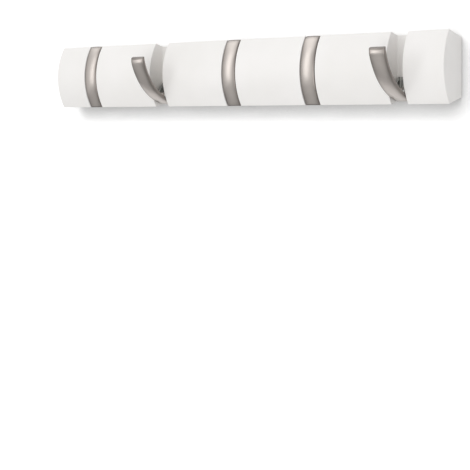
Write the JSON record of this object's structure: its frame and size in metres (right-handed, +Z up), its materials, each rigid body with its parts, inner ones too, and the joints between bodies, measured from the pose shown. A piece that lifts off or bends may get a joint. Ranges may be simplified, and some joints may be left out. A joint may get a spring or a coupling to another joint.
{
  "type": "wall coat rack",
  "caption": "Wall coat rack: a white painted bar with an arched front and metal hooks that flip out of upright slots, hung on hidden keyhole plates.",
  "frame": {"origin": "centre of the bar's back face, on the wall", "axes": "+X along the bar to the right as seen from the room, +Y into the wall, +Z up"},
  "size_m": [0.5144, 0.0659, 0.0698],
  "materials": {
    "painted_wood": "white satin lacquer",
    "satin_nickel": "satin nickel plate on die-cast zinc",
    "bracket_steel": "nickel-plated pressed steel",
    "zinc_plated_steel": "bright zinc plate",
    "nylon": "natural nylon"
  },
  "bodies": {
    "bar": {"rack_bar": "painted_wood", "hinge_bracket_1": "bracket_steel", "hinge_pin_1": "bracket_steel", "friction_washer_left_1": "nylon", "friction_washer_right_1": "nylon", "bracket_screw_lower_1": "zinc_plated_steel", "bracket_screw_upper_1": "zinc_plated_steel", "hinge_bracket_2": "bracket_steel", "hinge_pin_2": "bracket_steel", "friction_washer_left_2": "nylon", "friction_washer_right_2": "nylon", "bracket_screw_lower_2": "zinc_plated_steel", "bracket_screw_upper_2": "zinc_plated_steel", "hinge_bracket_3": "bracket_steel", "hinge_pin_3": "bracket_steel", "friction_washer_left_3": "nylon", "friction_washer_right_3": "nylon", "bracket_screw_lower_3": "zinc_plated_steel", "bracket_screw_upper_3": "zinc_plated_steel", "hinge_bracket_4": "bracket_steel", "hinge_pin_4": "bracket_steel", "friction_washer_left_4": "nylon", "friction_washer_right_4": "nylon", "bracket_screw_lower_4": "zinc_plated_steel", "bracket_screw_upper_4": "zinc_plated_steel", "hinge_bracket_5": "bracket_steel", "hinge_pin_5": "bracket_steel", "friction_washer_left_5": "nylon", "friction_washer_right_5": "nylon", "bracket_screw_lower_5": "zinc_plated_steel", "bracket_screw_upper_5": "zinc_plated_steel", "keyhole_plate_left": "zinc_plated_steel", "keyhole_screw_left_outer": "zinc_plated_steel", "keyhole_screw_left_inner": "zinc_plated_steel", "keyhole_plate_right": "zinc_plated_steel", "keyhole_screw_right_outer": "zinc_plated_steel", "keyhole_screw_right_inner": "zinc_plated_steel"},
    "flip_hook_1": {"hook_1": "satin_nickel"},
    "flip_hook_2": {"hook_2": "satin_nickel"},
    "flip_hook_3": {"hook_3": "satin_nickel"},
    "flip_hook_4": {"hook_4": "satin_nickel"},
    "flip_hook_5": {"hook_5": "satin_nickel"}
  },
  "joints": [
    {"name": "hook_1_pivot", "type": "hinge", "parent": "bar", "child": "flip_hook_1", "pos_m": [-0.2032, -0.02291, -0.02322], "axis": [1, 0, 0], "range_deg": [0, 46]},
    {"name": "hook_2_pivot", "type": "hinge", "parent": "bar", "child": "flip_hook_2", "pos_m": [-0.1016, -0.02291, -0.02322], "axis": [1, 0, 0], "range_deg": [-46, 0]},
    {"name": "hook_3_pivot", "type": "hinge", "parent": "bar", "child": "flip_hook_3", "pos_m": [0, -0.02291, -0.02322], "axis": [1, 0, 0], "range_deg": [0, 46]},
    {"name": "hook_4_pivot", "type": "hinge", "parent": "bar", "child": "flip_hook_4", "pos_m": [0.1016, -0.02291, -0.02322], "axis": [1, 0, 0], "range_deg": [0, 46]},
    {"name": "hook_5_pivot", "type": "hinge", "parent": "bar", "child": "flip_hook_5", "pos_m": [0.2032, -0.02291, -0.02322], "axis": [1, 0, 0], "range_deg": [-46, 0]}
  ]
}
